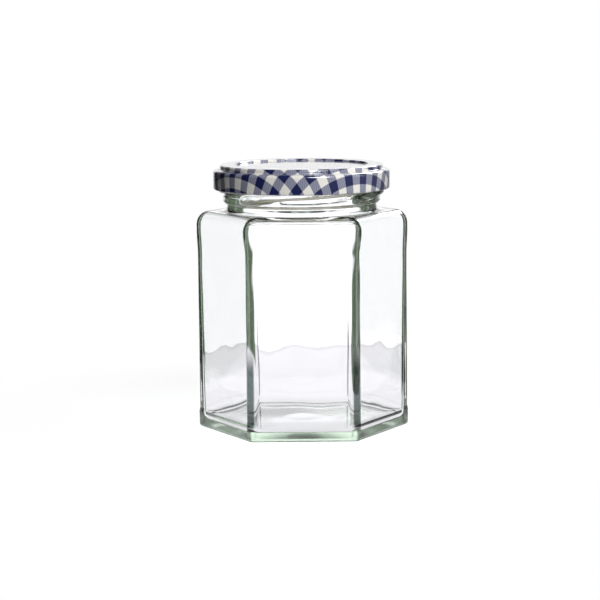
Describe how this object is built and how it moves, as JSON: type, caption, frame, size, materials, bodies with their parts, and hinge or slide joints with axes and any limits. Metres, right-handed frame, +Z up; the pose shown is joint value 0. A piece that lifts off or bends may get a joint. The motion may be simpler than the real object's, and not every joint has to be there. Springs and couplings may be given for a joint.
{
  "type": "hexagonal preserving jar",
  "caption": "Empty clear glass preserving jar with a hexagonal body and a round neck, closed by a twist-off metal lid in blue and cream gingham check.",
  "frame": {"origin": "middle of the base, on the surface that the jar stands on", "axes": "+Z up along the axis of the jar and lid, X through two opposite corners of the hexagon, Y through two opposite panels"},
  "size_m": [0.079, 0.0698, 0.0993],
  "materials": {
    "clear_glass": "clear, smooth, faintly green",
    "printed_steel": "gloss varnish over a navy and cream gingham check",
    "sealing_compound": "soft, satin, off-white"
  },
  "bodies": {
    "root": {"glass_jar": "clear_glass", "lid": "printed_steel", "sealing_ring": "sealing_compound"}
  },
  "joints": []
}
